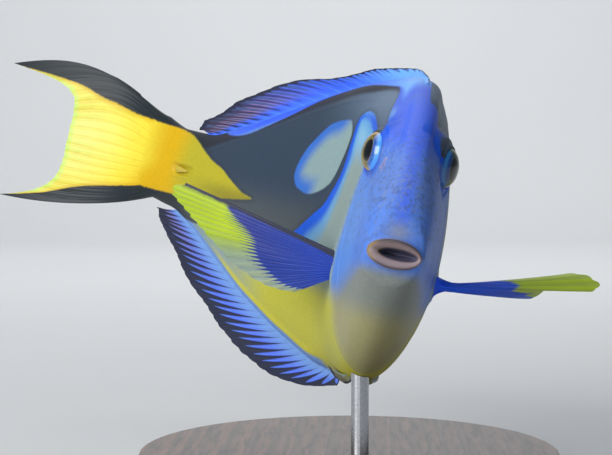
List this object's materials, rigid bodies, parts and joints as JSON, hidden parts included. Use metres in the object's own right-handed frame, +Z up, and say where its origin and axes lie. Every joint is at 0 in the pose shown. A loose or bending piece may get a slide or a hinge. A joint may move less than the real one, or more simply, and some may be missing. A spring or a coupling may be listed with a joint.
{
  "type": "regal blue tang model",
  "caption": "Still life-size regal blue tang on a plain stand, coming head-on and banked, tail swept to its right, pectoral fins spread.",
  "frame": {"origin": "the middle of the underside of the stand's base", "axes": "+Z up, the head points towards -Y, the fish's own left is +X; the body is banked so that its back leans towards +X, and its tail bends towards -X"},
  "size_m": [0.1879, 0.1878, 0.1256],
  "materials": {
    "skin": "satin painted skin with fine scales: violet blue face, slate palette, olive yellow belly",
    "fin_blue": "satin, blue with dark streaks, raised rays",
    "fin_yellow": "satin, yellow with black upper and lower bands, raised rays",
    "eye": "clear glossy, dark pupil in an olive and blue ring",
    "stand_wood": "dark oiled wood, satin",
    "stand_steel": "brushed"
  },
  "bodies": {
    "root": {"head": "skin", "torso": "skin", "tail_stalk": "skin", "caudal_fin": "fin_yellow", "dorsal_fin": "fin_blue", "anal_fin": "fin_blue", "pectoral_fin_left": "fin_blue", "pectoral_fin_right": "fin_blue", "pelvic_fin_left": "fin_blue", "pelvic_fin_right": "fin_blue", "eye_left": "eye", "eye_right": "eye", "stand_base": "stand_wood", "stand_rod": "stand_steel"}
  },
  "joints": []
}
